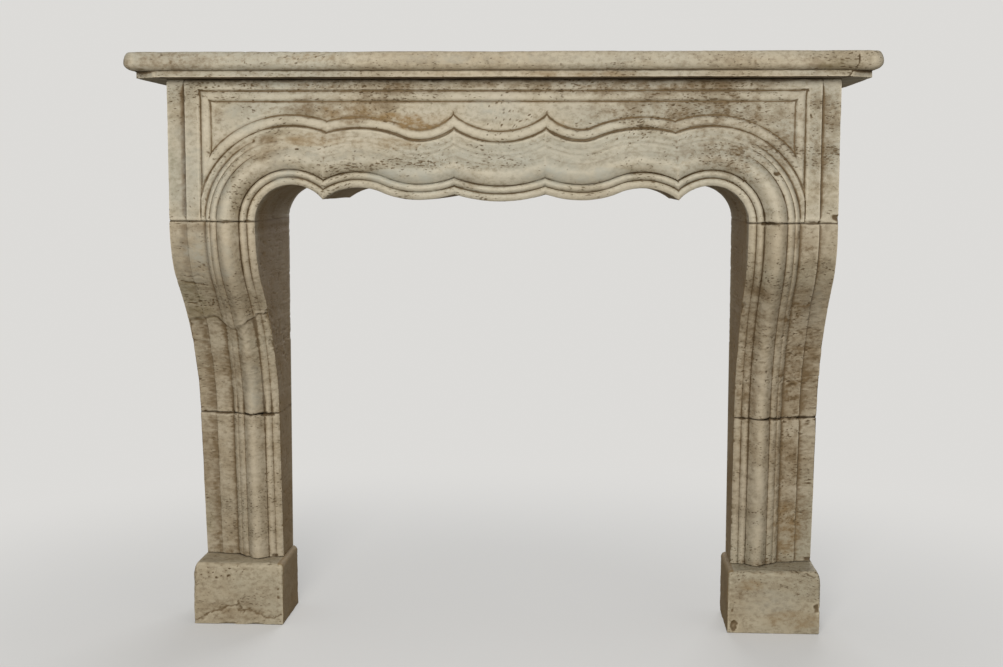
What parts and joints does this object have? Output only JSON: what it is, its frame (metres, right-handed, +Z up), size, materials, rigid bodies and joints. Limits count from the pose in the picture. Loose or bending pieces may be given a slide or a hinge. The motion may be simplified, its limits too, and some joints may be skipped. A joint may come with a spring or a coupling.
{
  "type": "fireplace mantel",
  "caption": "Carved travertine fireplace surround: scalloped arch, moulded frieze, S-curved stone jambs on plinths and a projecting shelf, worn and weathered.",
  "frame": {"origin": "centre of the bounding box on the floor, midway between the wall plane and the shelf's front edge", "axes": "+X along the wall to the viewer's right, +Y back to the wall, +Z up"},
  "size_m": [1.338, 0.388, 1.1],
  "materials": {
    "shelf_stone": "honed and worn travertine, brown dirt in the pits and along the lower edges",
    "frieze_stone": "carved travertine, worn smooth on the swells, ochre and brown stain around the panel grooves",
    "jamb_stone": "carved travertine, rough and pitted below the knee, brown soot stain in the hollows",
    "plinth_stone": "rubbed travertine block with patched chips and rounded arrises"
  },
  "bodies": {
    "root": {"shelf": "shelf_stone", "frieze": "frieze_stone", "upper_jamb_left": "jamb_stone", "upper_jamb_right": "jamb_stone", "lower_jamb_left": "jamb_stone", "lower_jamb_right": "jamb_stone", "plinth_left": "plinth_stone", "plinth_right": "plinth_stone"}
  },
  "joints": []
}
